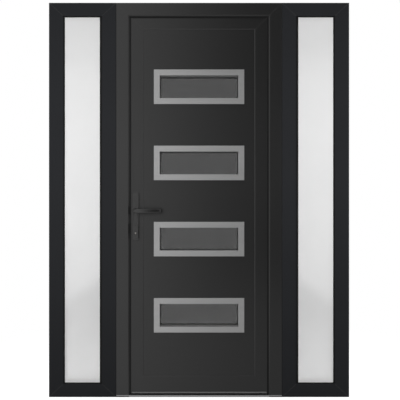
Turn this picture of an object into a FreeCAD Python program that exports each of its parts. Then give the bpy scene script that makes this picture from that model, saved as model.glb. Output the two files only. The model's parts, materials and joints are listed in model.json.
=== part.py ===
"""Glazed entrance door between two fixed sidelights, with a leaf that opens inward.

X runs along the unit, Y from outside to inside, Z up. The origin is in the middle of
the underside, at half the depth of the frame. Inside every body Y is the depth behind
the outside face, and its placement moves it back by half the frame depth. A width
written as a "line" is measured inward from the outer edge of the door frame.
"""

import FreeCAD, Part
import os
import Sketcher

DRIVING_SIZES = [
    # the whole unit
    ("unit_height", 2150, "floor to the top of the head"),
    ("door_width", 903, "door frame from joint to joint"),
    ("sidelight_width", 367, "one sidelight"),
    ("frame_depth", 70, "every fixed frame, outside to inside"),
    ("edge_chamfer", 1, "small chamfer on the long outer edges"),
    ("joint_chamfer", 3, "chamfer of a sidelight along its joint with the door frame"),
    # the door frame
    ("frame_face", 65, "flat outside face of jambs and head"),
    ("frame_bevel", 6, "sloped edge beside that face"),
    ("frame_leg", 7, "thickness of the leg that the leaf closes against"),
    ("frame_body", 50, "line of the inner face of the frame's body"),
    ("seal_reach", 7, "how far the black seal shows past the leg"),
    ("seal_width", 15, "seal on the back of the leg"),
    # the threshold
    ("sill_height", 11, "top of the sill under the jambs"),
    ("sill_plate", 5.5, "thickness of the sill plate over the end packers"),
    ("sill_rise", 12, "top of the sill under the leaf"),
    ("sill_rise_start", 24, "depth at which the sill reaches that height"),
    ("sill_nose", 1.5, "metal front edge of the sill, before its black strip"),
    ("sill_strip", 20.5, "width of that strip"),
    ("sill_strip_depth", 3, "thickness of that strip"),
    ("packer_width", 69, "end packer under each jamb"),
    # the leaf
    ("leaf_line", 62, "line of the leaf's edge"),
    ("leaf_setback", 12, "depth of the leaf's outside face"),
    ("leaf_depth", 72, "leaf, outside to inside"),
    ("leaf_foot", 17, "height of the leaf's underside"),
    ("leaf_face", 82.5, "outside face of the stiles"),
    ("leaf_top_face", 76, "outside face of the top rail"),
    ("leaf_bottom_face", 93, "outside face of the bottom rail"),
    ("leaf_bevel", 3, "width of the sloped edge beside that face"),
    ("leaf_bevel_depth", 2, "depth of that sloped edge"),
    ("leaf_lip", 3, "thickness of the lip in front of the panel"),
    ("leaf_rebate", 27, "lip over the edge of the panel"),
    ("flange_line", 42, "line of the edge of the leaf's inner flange"),
    ("flange_thickness", 9, "inner flange"),
    ("leaf_gap", 0.3, "seals to the face that they close on"),
    # the panel in the leaf
    ("panel_thickness", 58.5, "insulated panel"),
    ("panel_gap", 4, "panel edge to the rebate"),
    ("bead_bevel", 4, "sloped inner edge of a glazing bead"),
    ("drip_line", 83, "line of the ends of the drip bar"),
    ("drip_reach", 8, "drip bar in front of the leaf"),
    ("drip_lift", 3, "underside of the leaf to the drip bar"),
    ("drip_height", 5.5, "back of the drip bar"),
    ("drip_nose", 2.5, "front edge of the drip bar"),
    # the windows in the panel
    ("window_height", 125, "clear opening"),
    ("window_side_margin", 88.5, "clear opening to the lips of the stiles"),
    ("window_low_margin", 330.4, "middle of the lowest window to the bottom rail's lip"),
    ("window_top_margin", 314.1, "middle of the highest window to the top rail's lip"),
    ("trim_face", 32, "flat face of the trim round a window"),
    ("trim_rise", 4, "trim in front of the panel"),
    ("trim_sleeve", 7, "wall of the sleeve that lines the cut-out"),
    ("window_glass", 14, "glazing unit of a window"),
    ("pane", 4, "one sheet of glass"),
    ("glass_gap", 2, "edge of a glazing unit to what it stands in"),
    ("spacer_width", 8, "spacer between the panes"),
    # the sidelights
    ("stile_face", 78, "outside face of a sidelight stile"),
    ("rail_face", 71.8, "outside face of a sidelight rail"),
    ("light_rebate", 26, "lip over the edge of the glazing unit"),
    ("light_lip", 8, "thickness of that lip"),
    ("light_bevel", 1.5, "sloped edge of that lip"),
    ("gasket", 3, "thickness of the glazing gaskets"),
    ("gasket_line", 4.2, "black line of gasket round the glass"),
    ("inner_gasket_line", 13, "the same line beside the door"),
    ("light_glass", 24, "glazing unit of a sidelight"),
    ("light_glass_bite", 20, "edge of the glazing unit behind the lip"),
    ("bead_joint", 0.3, "side beads to the top and bottom beads"),
    # the handle and the lock
    ("handle_line", 105.5, "line of the spindle and of the key cylinder"),
    ("spindle_height", 1016, "height of the spindle"),
    ("plate_drop", 30, "middle of the long plates below the spindle"),
    ("plate_width", 34, "long plate"),
    ("plate_height", 262, "long plate"),
    ("plate_thickness", 8, "long plate"),
    ("plate_corner", 5, "cut corners of the long plates and of the guard"),
    ("hub_diameter", 20, "round hub of a lever"),
    ("hub_clearance", 0.3, "hub to its bearing in the plate"),
    ("lever_length", 146, "spindle to the tip of the lever"),
    ("lever_height", 22, "lever, top to bottom"),
    ("lever_thickness", 12, "lever, front to back"),
    ("lever_reach", 54, "front of the lever in front of the plate"),
    ("lever_neck", 28, "length of the round hub in front of the plate"),
    ("lever_bend", 20, "outer radius of the bends at neck and tip"),
    ("lever_return", 20, "tip turned back towards the leaf"),
    ("spindle_side", 8, "square spindle"),
    ("spindle_bore", 20, "hole for the spindle through the leaf"),
    ("cylinder_drop", 122, "key cylinder below the spindle"),
    ("cylinder_diameter", 17, "round part of the key cylinder"),
    ("cylinder_web", 10, "narrow part of the key cylinder"),
    ("cylinder_height", 33, "key cylinder from top to bottom"),
    ("cylinder_proud", 2, "key cylinder in front of the inside plate"),
    ("cylinder_clearance", 0.15, "key cylinder to its cut-outs"),
    ("guard_width", 29, "raised guard over the key cylinder"),
    ("guard_height", 74, "raised guard over the key cylinder"),
    ("guard_thickness", 8, "raised guard over the key cylinder"),
    ("guard_rise", 9, "middle of the guard above the key cylinder"),
    ("guard_bore", 11, "hole for the key in the guard"),
    ("faceplate_width", 20, "lock faceplate in the edge of the leaf"),
    ("faceplate_thickness", 3, "lock faceplate"),
    ("faceplate_end", 180, "faceplate to the ends of the leaf"),
    ("bolt_width", 11, "openings for the bolts in faceplate and strike plates"),
    ("bolt_height", 38, "openings for the bolts in faceplate and strike plates"),
    ("bolt_spread", 40, "an opening above or below the middle of its plate"),
    ("strike_width", 30, "strike plates on the jamb"),
    ("strike_thickness", 3, "strike plates"),
    ("strike_height", 170, "one strike plate"),
    ("strike_spread", 620, "upper and lower strike from the middle one"),
    # the hinges
    ("hinge_line", 36, "line of the hinge axis"),
    ("hinge_depth", 97, "depth of the hinge axis"),
    ("hinge_barrel", 18, "diameter of the barrel"),
    ("hinge_pin", 9, "diameter of the pin"),
    ("pin_clearance", 0.1, "pin to the knuckles of the leaf"),
    ("knuckle_height", 34, "one of the three knuckles of a hinge"),
    ("knuckle_gap", 0.4, "knuckle to knuckle"),
    ("hinge_end", 230, "middle of the outer hinges to the ends of the leaf"),
    ("hinge_web", 7, "web between plate and barrel"),
    ("hinge_plate", 3, "plates screwed to frame and leaf"),
    ("hinge_plate_width", 26, "plates screwed to frame and leaf"),
    ("pin_head", 4, "cap at each end of a pin"),
]
WINDOW_COUNT = 4
# a mitre cut runs past the inner corner by this factor, and this deep through the profile
OVERRUN = 1.1
THROUGH = 400

doc = FreeCAD.newDocument("door_with_sidelights")


def write_sheet():
    """The spreadsheet of driving sizes: alias, value and what it measures."""
    sheet = doc.addObject("Spreadsheet::Sheet", "Sizes")
    for row, (alias, value, note) in enumerate(DRIVING_SIZES, start=1):
        sheet.set(f"A{row}", alias)
        sheet.set(f"B{row}", str(value))
        sheet.set(f"C{row}", note)
        sheet.setAlias(f"B{row}", alias)
    doc.recompute()
    return sheet


class Length:
    """A number together with the expression that binds it to the sheet."""

    def __init__(self, value, text):
        self.value = value
        self.text = text

    def __add__(self, other):
        other = length(other)
        return Length(self.value + other.value, f"({self.text} + {other.text})")

    def __sub__(self, other):
        other = length(other)
        return Length(self.value - other.value, f"({self.text} - {other.text})")

    def __mul__(self, other):
        other = length(other)
        return Length(self.value * other.value, f"({self.text} * {other.text})")

    def __truediv__(self, other):
        other = length(other)
        return Length(self.value / other.value, f"({self.text} / {other.text})")

    def __neg__(self):
        return self * -1

    def __rsub__(self, other):
        return length(other) - self

    __radd__ = __add__
    __rmul__ = __mul__


def length(number):
    """The number as a Length."""
    return number if isinstance(number, Length) else Length(number, f"({number})")


class SheetSizes:
    """Reads a driving size by its alias, as a Length."""

    def __init__(self, sheet):
        self.sheet = sheet

    def __getattr__(self, alias):
        return Length(float(self.sheet.get(alias)), f"Sizes.{alias}")


S = SheetSizes(write_sheet())
PARTS = []


def new_body(label, pieces_apart=False):
    """An empty body, moved so that its Y is the depth behind the outside face."""
    body = doc.addObject("PartDesign::Body", label)
    body.Label = label
    body.AllowCompound = pieces_apart
    body.setExpression("Placement.Base.y", (-S.frame_depth / 2).text)
    PARTS.append(body)
    return body


def new_sketch(body, role, level):
    """An empty sketch on an origin plane, moved off it by the level."""
    sketch = body.newObject("Sketcher::SketchObject", body.Label + "_outline")
    plane = next(item for item in body.Origin.OriginFeatures if item.Role == role)
    sketch.AttachmentSupport = [(plane, "")]
    sketch.MapMode = "FlatFace"
    sketch.setExpression("AttachmentOffset.Base.z", length(level).text)
    return sketch


def hold(sketch, kind, geometry, point, value):
    """Bind one coordinate of a point of the sketch."""
    value = length(value)
    index = sketch.addConstraint(Sketcher.Constraint(kind, -1, 1, geometry, point, value.value))
    sketch.setExpression(f"Constraints[{index}]", value.text)


def hold_radius(sketch, geometry, value):
    """Bind the radius of a circle or an arc."""
    index = sketch.addConstraint(Sketcher.Constraint("Radius", geometry, value.value))
    sketch.setExpression(f"Constraints[{index}]", value.text)


def draw_loop(sketch, corners):
    """Closed outline of straight lines whose corners are all bound."""
    spots = [FreeCAD.Vector(length(a).value, length(b).value, 0) for a, b in corners]
    first = sketch.GeometryCount
    count = len(spots)
    for i in range(count):
        sketch.addGeometry(Part.LineSegment(spots[i], spots[(i + 1) % count]), False)
    for i in range(count):
        after = first + (i + 1) % count
        sketch.addConstraint(Sketcher.Constraint("Coincident", first + i, 2, after, 1))
    for i, (a, b) in enumerate(corners):
        hold(sketch, "DistanceX", first + i, 1, a)
        hold(sketch, "DistanceY", first + i, 1, b)


def draw_circle(sketch, middle, radius):
    """Circle with its middle and radius bound."""
    a, b = length(middle[0]), length(middle[1])
    radius = length(radius)
    centre = FreeCAD.Vector(a.value, b.value, 0)
    circle = Part.Circle(centre, FreeCAD.Vector(0, 0, 1), radius.value)
    index = sketch.addGeometry(circle, False)
    hold(sketch, "DistanceX", index, 3, a)
    hold(sketch, "DistanceY", index, 3, b)
    hold_radius(sketch, index, radius)


def finish_feature(body, kind, sketch, run, backward=False, both_ways=False):
    """Pad or pocket the sketch over a bound length."""
    feature = body.newObject(f"PartDesign::{kind}", f"{body.Label}_{kind.lower()}")
    feature.Profile = sketch
    feature.setExpression("Length", length(run).text)
    feature.Reversed = backward
    if both_ways:
        feature.SideType = "Symmetric"
    body.Tip = feature
    return feature


def run_up(body, corners, foot, top):
    """Pad a section drawn in plan from one height to another."""
    sketch = new_sketch(body, "XY_Plane", foot)
    draw_loop(sketch, corners)
    finish_feature(body, "Pad", sketch, top - foot)


def run_along(body, corners, start, end):
    """Pad a section drawn from the side from one X to another."""
    sketch = new_sketch(body, "YZ_Plane", start)
    draw_loop(sketch, corners)
    finish_feature(body, "Pad", sketch, end - start)


def run_back(body, loops, front, back):
    """Pad outlines drawn from the front from one depth to a greater one."""
    sketch = new_sketch(body, "XZ_Plane", -length(front))
    for corners in loops:
        draw_loop(sketch, corners)
    finish_feature(body, "Pad", sketch, back - front, backward=True)


def bore_back(body, middle, radius, front, back):
    """Cut a round hole from one depth to a greater one."""
    sketch = new_sketch(body, "XZ_Plane", -length(front))
    draw_circle(sketch, middle, radius)
    finish_feature(body, "Pocket", sketch, back - front)


def rod_back(body, middle, radius, front, back):
    """Pad a round bar from one depth to a greater one."""
    sketch = new_sketch(body, "XZ_Plane", -length(front))
    draw_circle(sketch, middle, radius)
    finish_feature(body, "Pad", sketch, back - front, backward=True)


def cut_back(body, loops, front, back):
    """Cut outlines drawn from the front from one depth to a greater one."""
    sketch = new_sketch(body, "XZ_Plane", -length(front))
    for corners in loops:
        draw_loop(sketch, corners)
    finish_feature(body, "Pocket", sketch, back - front)


def cut_along(body, loops, start, end):
    """Cut outlines drawn from the side from one X to a greater one."""
    sketch = new_sketch(body, "YZ_Plane", start)
    for corners in loops:
        draw_loop(sketch, corners)
    finish_feature(body, "Pocket", sketch, end - start, backward=True)


def cut_mitre(body, upright, corner, width, height):
    """Cut one end on the line from an outer corner to an inner corner.

    width and height are the signed steps to the inner corner. An upright loses what
    lies beyond the line towards its end, and a rail what lies beside it.
    """
    x, z = corner
    inner_x = x + width * OVERRUN
    inner_z = z + height * OVERRUN
    if upright:
        beyond = z - height * OVERRUN
        loop = [(x, z), (inner_x, inner_z), (inner_x, beyond), (x, beyond)]
    else:
        beyond = x - width * OVERRUN
        loop = [(x, z), (inner_x, inner_z), (beyond, inner_z), (beyond, z)]
    sketch = new_sketch(body, "XZ_Plane", 0)
    draw_loop(sketch, loop)
    finish_feature(body, "Pocket", sketch, THROUGH, both_ways=True)


def rectangle(left, right, low, high):
    """Corners of a rectangle seen from the front."""
    return [(left, low), (right, low), (right, high), (left, high)]


def make_beads(label, outer, width, front, back):
    """Four straight glazing beads that line a rebate, the sides between the others."""
    left, right, low, high = outer
    beads = new_body(label, pieces_apart=True)
    slope = S.bead_bevel
    section = [
        (length(0), front), (width, front), (width, back - slope), (width - slope, back),
        (length(0), back),
    ]
    run_along(beads, [(depth, low + line) for line, depth in section], left, right)
    run_along(beads, [(depth, high - line) for line, depth in section], left, right)
    side_low = low + width + S.bead_joint
    side_high = high - width - S.bead_joint
    run_up(beads, [(left + line, depth) for line, depth in section], side_low, side_high)
    run_up(beads, [(right - line, depth) for line, depth in section], side_low, side_high)


def arch(half_width, top, foot, wall):
    """Corners of an upside-down U: two uprights joined by a head."""
    inner = half_width - wall
    return [
        (-half_width, foot), (-half_width, top), (half_width, top), (half_width, foot),
        (inner, foot), (inner, top - wall), (-inner, top - wall), (-inner, foot),
    ]


HALF_DOOR = S.door_width / 2
HALF_UNIT = HALF_DOOR + S.sidelight_width
LEAF_BACK = S.leaf_setback + S.leaf_depth
PANEL_FRONT = S.leaf_setback + S.leaf_lip
PANEL_BACK = PANEL_FRONT + S.panel_thickness
REBATE_LINE = S.leaf_line + S.leaf_face + S.leaf_bevel - S.leaf_rebate
LIP_LINE = S.leaf_line + S.leaf_face + S.leaf_bevel
TOP_LIP_LINE = S.leaf_line + S.leaf_top_face + S.leaf_bevel
TOP_REBATE_LINE = TOP_LIP_LINE - S.leaf_rebate
BOTTOM_LIP = S.leaf_foot + S.leaf_bottom_face + S.leaf_bevel
BOTTOM_REBATE = BOTTOM_LIP - S.leaf_rebate
LOCK_DEPTH = S.leaf_setback + S.leaf_depth / 2 - S.flange_thickness / 2
HANDLE_X = S.handle_line - HALF_DOOR
PLATE_MIDDLE = S.spindle_height - S.plate_drop
CYLINDER_AXIS = S.spindle_height - S.cylinder_drop


def door_x(side, line):
    """X of a line of the door frame, on the left (-1) or right (+1)."""
    return (HALF_DOOR - line) * side


def head_z(line):
    """Height of a line of the door frame at its head."""
    return S.unit_height - line


def door_frame_section():
    """Corners (line, depth) of the profile of jambs and head."""
    leg_line = S.frame_face + S.frame_bevel
    chamfer = S.edge_chamfer
    return [
        (0, chamfer), (chamfer, 0), (S.frame_face, 0), (leg_line, S.frame_bevel),
        (leg_line, S.frame_leg), (S.frame_body, S.frame_leg),
        (S.frame_body, S.frame_depth), (chamfer, S.frame_depth),
        (0, S.frame_depth - chamfer),
    ]


def make_door_frame():
    """Two jambs and a head, mitred at the top corners."""
    reach = S.frame_face + S.frame_bevel
    for side, name in ((-1, "left"), (1, "right")):
        jamb = new_body(f"{name}_jamb")
        plan = [(door_x(side, line), depth) for line, depth in door_frame_section()]
        run_up(jamb, plan, S.sill_height, S.unit_height)
        cut_mitre(jamb, True, (door_x(side, 0), head_z(0)), reach * -side, -reach)
    head = new_body("door_head")
    section = [(depth, head_z(line)) for line, depth in door_frame_section()]
    run_along(head, section, -HALF_DOOR, HALF_DOOR)
    for side in (-1, 1):
        cut_mitre(head, False, (door_x(side, 0), head_z(0)), reach * -side, -reach)


def make_threshold():
    """Sill plate through under the jambs, with a deeper and higher middle part.

    A black strip of rubber lies flush in its top, behind the metal front edge.
    """
    sill = new_body("threshold")
    low = S.sill_height - S.sill_plate
    strip_back = S.sill_nose + S.sill_strip
    strip_low = S.sill_height - S.sill_strip_depth
    plate = [
        (0, low), (S.frame_depth, low), (S.frame_depth, S.sill_height),
        (strip_back, S.sill_height), (strip_back, strip_low), (S.sill_nose, strip_low),
        (S.sill_nose, S.sill_height), (0, S.sill_height),
    ]
    run_along(sill, plate, -HALF_DOOR, HALF_DOOR)
    strip = new_body("threshold_strip")
    fill = [
        (S.sill_nose, strip_low), (strip_back, strip_low), (strip_back, S.sill_height),
        (S.sill_nose, S.sill_height),
    ]
    run_along(strip, fill, -HALF_DOOR, HALF_DOOR)
    end = HALF_DOOR - S.packer_width
    foot = [(0, 0), (S.frame_depth, 0), (S.frame_depth, low), (0, low)]
    run_along(sill, foot, -end, end)
    slope = S.sill_rise - S.sill_height
    rise = [
        (S.sill_rise_start - slope, S.sill_height), (S.frame_depth, S.sill_height),
        (S.frame_depth, S.sill_rise), (S.sill_rise_start, S.sill_rise),
    ]
    run_along(sill, rise, door_x(-1, S.frame_body), door_x(1, S.frame_body))
    packers = new_body("threshold_end_packers", pieces_apart=True)
    block = [(0, 0), (S.frame_depth, 0), (S.frame_depth, low), (0, low)]
    run_along(packers, block, -HALF_DOOR, -end)
    run_along(packers, block, end, HALF_DOOR)


def make_frame_seal():
    """Black seal on the back of the leg, round three sides of the doorway."""
    seal = new_body("frame_weather_seal")
    edge = S.frame_face + S.frame_bevel + S.seal_reach
    outer = edge - S.seal_width
    loop = arch(HALF_DOOR - outer, head_z(outer), S.sill_height, S.seal_width)
    run_back(seal, [loop], S.frame_leg, S.leaf_setback - S.leaf_gap)


def bolt_openings(middle):
    """Openings (depth, height) for the two bolts that meet one strike plate."""
    front = LOCK_DEPTH - S.bolt_width / 2
    back = LOCK_DEPTH + S.bolt_width / 2
    loops = []
    for step in (-1, 1):
        low = middle + S.bolt_spread * step - S.bolt_height / 2
        loops.append(rectangle(front, back, low, low + S.bolt_height))
    return loops


def make_strike_plates():
    """Three plates on the inner face of the left jamb, each with openings for two bolts."""
    plates = new_body("strike_plates", pieces_apart=True)
    face = door_x(-1, S.frame_body)
    end = face + S.strike_thickness
    front = LOCK_DEPTH - S.strike_width / 2
    openings = []
    for step in (-1, 0, 1):
        middle = PLATE_MIDDLE + S.strike_spread * step
        low = middle - S.strike_height / 2
        sheet = rectangle(face, end, low, low + S.strike_height)
        run_back(plates, [sheet], front, front + S.strike_width)
        openings += bolt_openings(middle)
    cut_along(plates, openings, face, end)


def light_section(face, rebate_line, chamfer):
    """Corners (line, depth) of a sidelight profile: body, lip and rebate."""
    return [
        (0, chamfer), (chamfer, 0), (face - S.light_bevel, 0), (face, S.light_bevel),
        (face, S.light_lip), (rebate_line, S.light_lip), (rebate_line, S.frame_depth),
        (chamfer, S.frame_depth), (0, S.frame_depth - chamfer),
    ]


def make_sidelight(side, name):
    """Frame of four mitred members, glazing unit, gaskets and glazing beads."""
    outer_x = HALF_UNIT * side
    inner_x = HALF_DOOR * side
    stile_rebate = S.stile_face - S.light_rebate
    rail_rebate = S.rail_face - S.light_rebate
    top = S.unit_height
    stiles = (
        ("outer", outer_x, -side, S.edge_chamfer), ("inner", inner_x, side, S.joint_chamfer),
    )
    for label, edge, inward, chamfer in stiles:
        stile = new_body(f"{name}_sidelight_{label}_stile")
        section = light_section(S.stile_face, stile_rebate, chamfer)
        plan = [(edge + line * inward, depth) for line, depth in section]
        run_up(stile, plan, length(0), top)
        cut_mitre(stile, True, (edge, top), S.stile_face * inward, -S.rail_face)
        cut_mitre(stile, True, (edge, length(0)), S.stile_face * inward, S.rail_face)
    left = inner_x if side > 0 else outer_x
    right = outer_x if side > 0 else inner_x
    for label, edge, inward in (("top", top, -1), ("bottom", length(0), 1)):
        rail = new_body(f"{name}_sidelight_{label}_rail")
        section = light_section(S.rail_face, rail_rebate, S.edge_chamfer)
        profile = [(depth, edge + line * inward) for line, depth in section]
        run_along(rail, profile, left, right)
        cut_mitre(rail, False, (left, edge), S.stile_face, S.rail_face * inward)
        cut_mitre(rail, False, (right, edge), -S.stile_face, S.rail_face * inward)

    def frame_loop(inset, beside_door=None):
        """Rectangle set in from the lips' edges, or out where the inset is negative."""
        inner_inset = inset if beside_door is None else beside_door
        left_inset = inner_inset if side > 0 else inset
        right_inset = inset if side > 0 else inner_inset
        return rectangle(
            left + S.stile_face + left_inset, right - S.stile_face - right_inset,
            S.rail_face + inset, top - S.rail_face - inset,
        )

    bite = frame_loop(-S.light_glass_bite)
    glass_front = S.light_lip + S.gasket
    glass_back = glass_front + S.light_glass
    panes = new_body(f"{name}_sidelight_panes", pieces_apart=True)
    run_back(panes, [bite], glass_front, glass_front + S.pane)
    run_back(panes, [bite], glass_back - S.pane, glass_back)
    spacer = new_body(f"{name}_sidelight_spacer")
    spacer_loops = [bite, frame_loop(S.spacer_width - S.light_glass_bite)]
    run_back(spacer, spacer_loops, glass_front + S.pane, glass_back - S.pane)
    gaskets = new_body(f"{name}_sidelight_gaskets", pieces_apart=True)
    gasket_loops = [
        frame_loop(S.gasket_line - S.light_glass_bite),
        frame_loop(S.gasket_line, S.inner_gasket_line),
    ]
    run_back(gaskets, gasket_loops, S.light_lip, glass_front)
    run_back(gaskets, gasket_loops, glass_back, glass_back + S.gasket)
    rebate = (
        left + stile_rebate, right - stile_rebate, rail_rebate, top - rail_rebate,
    )
    label = f"{name}_sidelight_glazing_beads"
    make_beads(label, rebate, S.light_rebate, glass_back + S.gasket, S.frame_depth)


def leaf_section(face):
    """Corners (line, depth) of stiles and top rail, with the inner flange."""
    lip = S.leaf_line + face + S.leaf_bevel
    flange_front = LEAF_BACK - S.flange_thickness
    return [
        (S.leaf_line, S.leaf_setback), (S.leaf_line + face, S.leaf_setback),
        (lip, S.leaf_setback + S.leaf_bevel_depth), (lip, PANEL_FRONT),
        (lip - S.leaf_rebate, PANEL_FRONT), (lip - S.leaf_rebate, LEAF_BACK),
        (S.flange_line, LEAF_BACK), (S.flange_line, flange_front),
        (S.leaf_line, flange_front),
    ]


def bottom_rail_section():
    """Corners (depth, height) of the bottom rail, which has no flange."""
    face_top = S.leaf_foot + S.leaf_bottom_face
    return [
        (S.leaf_setback, S.leaf_foot), (LEAF_BACK, S.leaf_foot), (LEAF_BACK, BOTTOM_REBATE),
        (PANEL_FRONT, BOTTOM_REBATE), (PANEL_FRONT, BOTTOM_LIP),
        (S.leaf_setback + S.leaf_bevel_depth, BOTTOM_LIP), (S.leaf_setback, face_top),
    ]


def make_leaf_frame():
    """Lock stile, hinge stile, top rail and bottom rail, mitred together."""
    top_width = LIP_LINE - S.flange_line
    top_height = TOP_LIP_LINE - S.flange_line
    foot_width = S.leaf_face + S.leaf_bevel
    foot_height = S.leaf_bottom_face + S.leaf_bevel
    for side, name in ((-1, "leaf_lock_stile"), (1, "leaf_hinge_stile")):
        stile = new_body(name)
        plan = [(door_x(side, line), depth) for line, depth in leaf_section(S.leaf_face)]
        run_up(stile, plan, S.leaf_foot, head_z(S.flange_line))
        top_corner = (door_x(side, S.flange_line), head_z(S.flange_line))
        cut_mitre(stile, True, top_corner, top_width * -side, -top_height)
        foot_corner = (door_x(side, S.leaf_line), S.leaf_foot)
        cut_mitre(stile, True, foot_corner, foot_width * -side, foot_height)
        if side < 0:
            cut_lock_holes(stile)
    top_rail = new_body("leaf_top_rail")
    section = [(depth, head_z(line)) for line, depth in leaf_section(S.leaf_top_face)]
    run_along(top_rail, section, door_x(-1, S.flange_line), door_x(1, S.flange_line))
    bottom_rail = new_body("leaf_bottom_rail")
    run_along(bottom_rail, bottom_rail_section(), door_x(-1, S.leaf_line), door_x(1, S.leaf_line))
    for side in (-1, 1):
        top_corner = (door_x(side, S.flange_line), head_z(S.flange_line))
        cut_mitre(top_rail, False, top_corner, top_width * -side, -top_height)
        foot_corner = (door_x(side, S.leaf_line), S.leaf_foot)
        cut_mitre(bottom_rail, False, foot_corner, foot_width * -side, foot_height)


def cylinder_loop(spare):
    """Outline of the flat web of a profile cylinder, grown by a spare width."""
    half = S.cylinder_web / 2 + spare
    low = CYLINDER_AXIS + S.cylinder_diameter / 2 - S.cylinder_height - spare
    return rectangle(HANDLE_X - half, HANDLE_X + half, low, CYLINDER_AXIS)


def cut_cylinder(body, front, back):
    """Cut the shape of the key cylinder, with its clearance, through a piece."""
    radius = S.cylinder_diameter / 2 + S.cylinder_clearance
    bore_back(body, (HANDLE_X, CYLINDER_AXIS), radius, front, back)
    cut_back(body, [cylinder_loop(S.cylinder_clearance)], front, back)


def faceplate_span():
    """Lowest and highest point of the lock faceplate."""
    return S.leaf_foot + S.faceplate_end, head_z(S.leaf_line) - S.faceplate_end


def cut_lock_holes(stile):
    """Spindle hole, cylinder hole and faceplate recess of the lock stile."""
    spindle = (HANDLE_X, S.spindle_height)
    bore_back(stile, spindle, S.spindle_bore / 2, S.leaf_setback, LEAF_BACK)
    cut_cylinder(stile, S.leaf_setback, LEAF_BACK)
    low, high = faceplate_span()
    edge = door_x(-1, S.leaf_line)
    recess = rectangle(edge, edge + S.faceplate_thickness, low, high)
    front = LOCK_DEPTH - S.faceplate_width / 2
    cut_back(stile, [recess], front, front + S.faceplate_width)


def window_loops(grow):
    """One rectangle for each window, larger than its opening by grow on all sides."""
    half = HALF_DOOR - LIP_LINE - S.window_side_margin + grow
    rise = S.window_height / 2 + grow
    lowest = BOTTOM_LIP + S.window_low_margin
    highest = head_z(TOP_LIP_LINE) - S.window_top_margin
    pitch = (highest - lowest) / (WINDOW_COUNT - 1)
    loops = []
    for i in range(WINDOW_COUNT):
        middle = lowest + pitch * i
        loops.append(rectangle(-half, half, middle - rise, middle + rise))
    return loops


def make_panel():
    """Insulated panel with its four cut-outs, and the beads that hold it inside."""
    panel = new_body("door_panel")
    half = HALF_DOOR - REBATE_LINE - S.panel_gap
    low = BOTTOM_REBATE + S.panel_gap
    high = head_z(TOP_REBATE_LINE) - S.panel_gap
    loops = [rectangle(-half, half, low, high)] + window_loops(S.trim_sleeve)
    run_back(panel, loops, PANEL_FRONT, PANEL_BACK)
    rebate = HALF_DOOR - REBATE_LINE
    outer = (-rebate, rebate, BOTTOM_REBATE, head_z(TOP_REBATE_LINE))
    make_beads("panel_beads", outer, S.leaf_rebate, PANEL_BACK, LEAF_BACK)


def make_windows():
    """Trims on both faces of the panel, and a glazing unit in each cut-out."""
    glass_back = PANEL_BACK
    glass_front = glass_back - S.window_glass
    openings = window_loops(0)
    outside = new_body("window_trims_outside", pieces_apart=True)
    flange = window_loops(S.trim_face) + openings
    sleeve = window_loops(S.trim_sleeve) + openings
    run_back(outside, flange, PANEL_FRONT - S.trim_rise, PANEL_FRONT)
    run_back(outside, sleeve, PANEL_FRONT, glass_front)
    inside = new_body("window_trims_inside", pieces_apart=True)
    run_back(inside, flange, PANEL_BACK, PANEL_BACK + S.trim_rise)
    edge = S.trim_sleeve - S.glass_gap
    panes = new_body("window_panes", pieces_apart=True)
    run_back(panes, window_loops(edge), glass_front, glass_front + S.pane)
    run_back(panes, window_loops(edge), glass_back - S.pane, glass_back)
    spacers = new_body("window_spacers", pieces_apart=True)
    spacer_loops = window_loops(edge) + window_loops(edge - S.spacer_width)
    run_back(spacers, spacer_loops, glass_front + S.pane, glass_back - S.pane)


def make_leaf_seals():
    """Drip bar and bottom seal, and the seal on the leaf's inner flange."""
    drip = new_body("drip_bar")
    front = S.leaf_setback - S.drip_reach
    foot = S.leaf_foot + S.drip_lift
    section = [
        (front, foot), (S.leaf_setback, foot),
        (S.leaf_setback, foot + S.drip_height), (front, foot + S.drip_nose),
    ]
    run_along(drip, section, door_x(-1, S.drip_line), door_x(1, S.drip_line))
    bottom = new_body("bottom_seal")
    start = S.leaf_setback + S.leaf_depth / 3
    strip = [
        (start, S.sill_rise + S.leaf_gap), (start + S.seal_width, S.sill_rise + S.leaf_gap),
        (start + S.seal_width, S.leaf_foot), (start, S.leaf_foot),
    ]
    run_along(bottom, strip, door_x(-1, S.leaf_line), door_x(1, S.leaf_line))
    flange = new_body("leaf_weather_seal")
    wall = S.seal_reach
    line = (S.flange_line + S.frame_body - wall) / 2
    loop = arch(HALF_DOOR - line, head_z(line), S.leaf_foot, wall)
    run_back(flange, [loop], S.frame_depth + S.leaf_gap, LEAF_BACK - S.flange_thickness)


def make_lock():
    """Key cylinder and faceplate."""
    cylinder = new_body("key_cylinder")
    front = S.leaf_setback - S.plate_thickness + S.cylinder_clearance
    back = LEAF_BACK + S.plate_thickness + S.cylinder_proud
    rod_back(cylinder, (HANDLE_X, CYLINDER_AXIS), S.cylinder_diameter / 2, front, back)
    run_back(cylinder, [cylinder_loop(length(0))], front, back)
    faceplate = new_body("lock_faceplate")
    low, high = faceplate_span()
    edge = door_x(-1, S.leaf_line)
    end = edge + S.faceplate_thickness
    front = LOCK_DEPTH - S.faceplate_width / 2
    run_back(faceplate, [rectangle(edge, end, low, high)], front, front + S.faceplate_width)
    openings = []
    for step in (-1, 0, 1):
        openings += bolt_openings(PLATE_MIDDLE + S.strike_spread * step)
    cut_along(faceplate, openings, edge, end)


def plate_outline(width, height, middle):
    """Corners of an upright plate with cut corners, on the line of the handle."""
    half = width / 2
    rise = height / 2
    narrow = half - S.plate_corner
    short = rise - S.plate_corner
    steps = [
        (-half, -short), (-narrow, -rise), (narrow, -rise), (half, -short),
        (half, short), (narrow, rise), (-narrow, rise), (-half, short),
    ]
    return [(HANDLE_X + across, middle + up) for across, up in steps]


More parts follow.
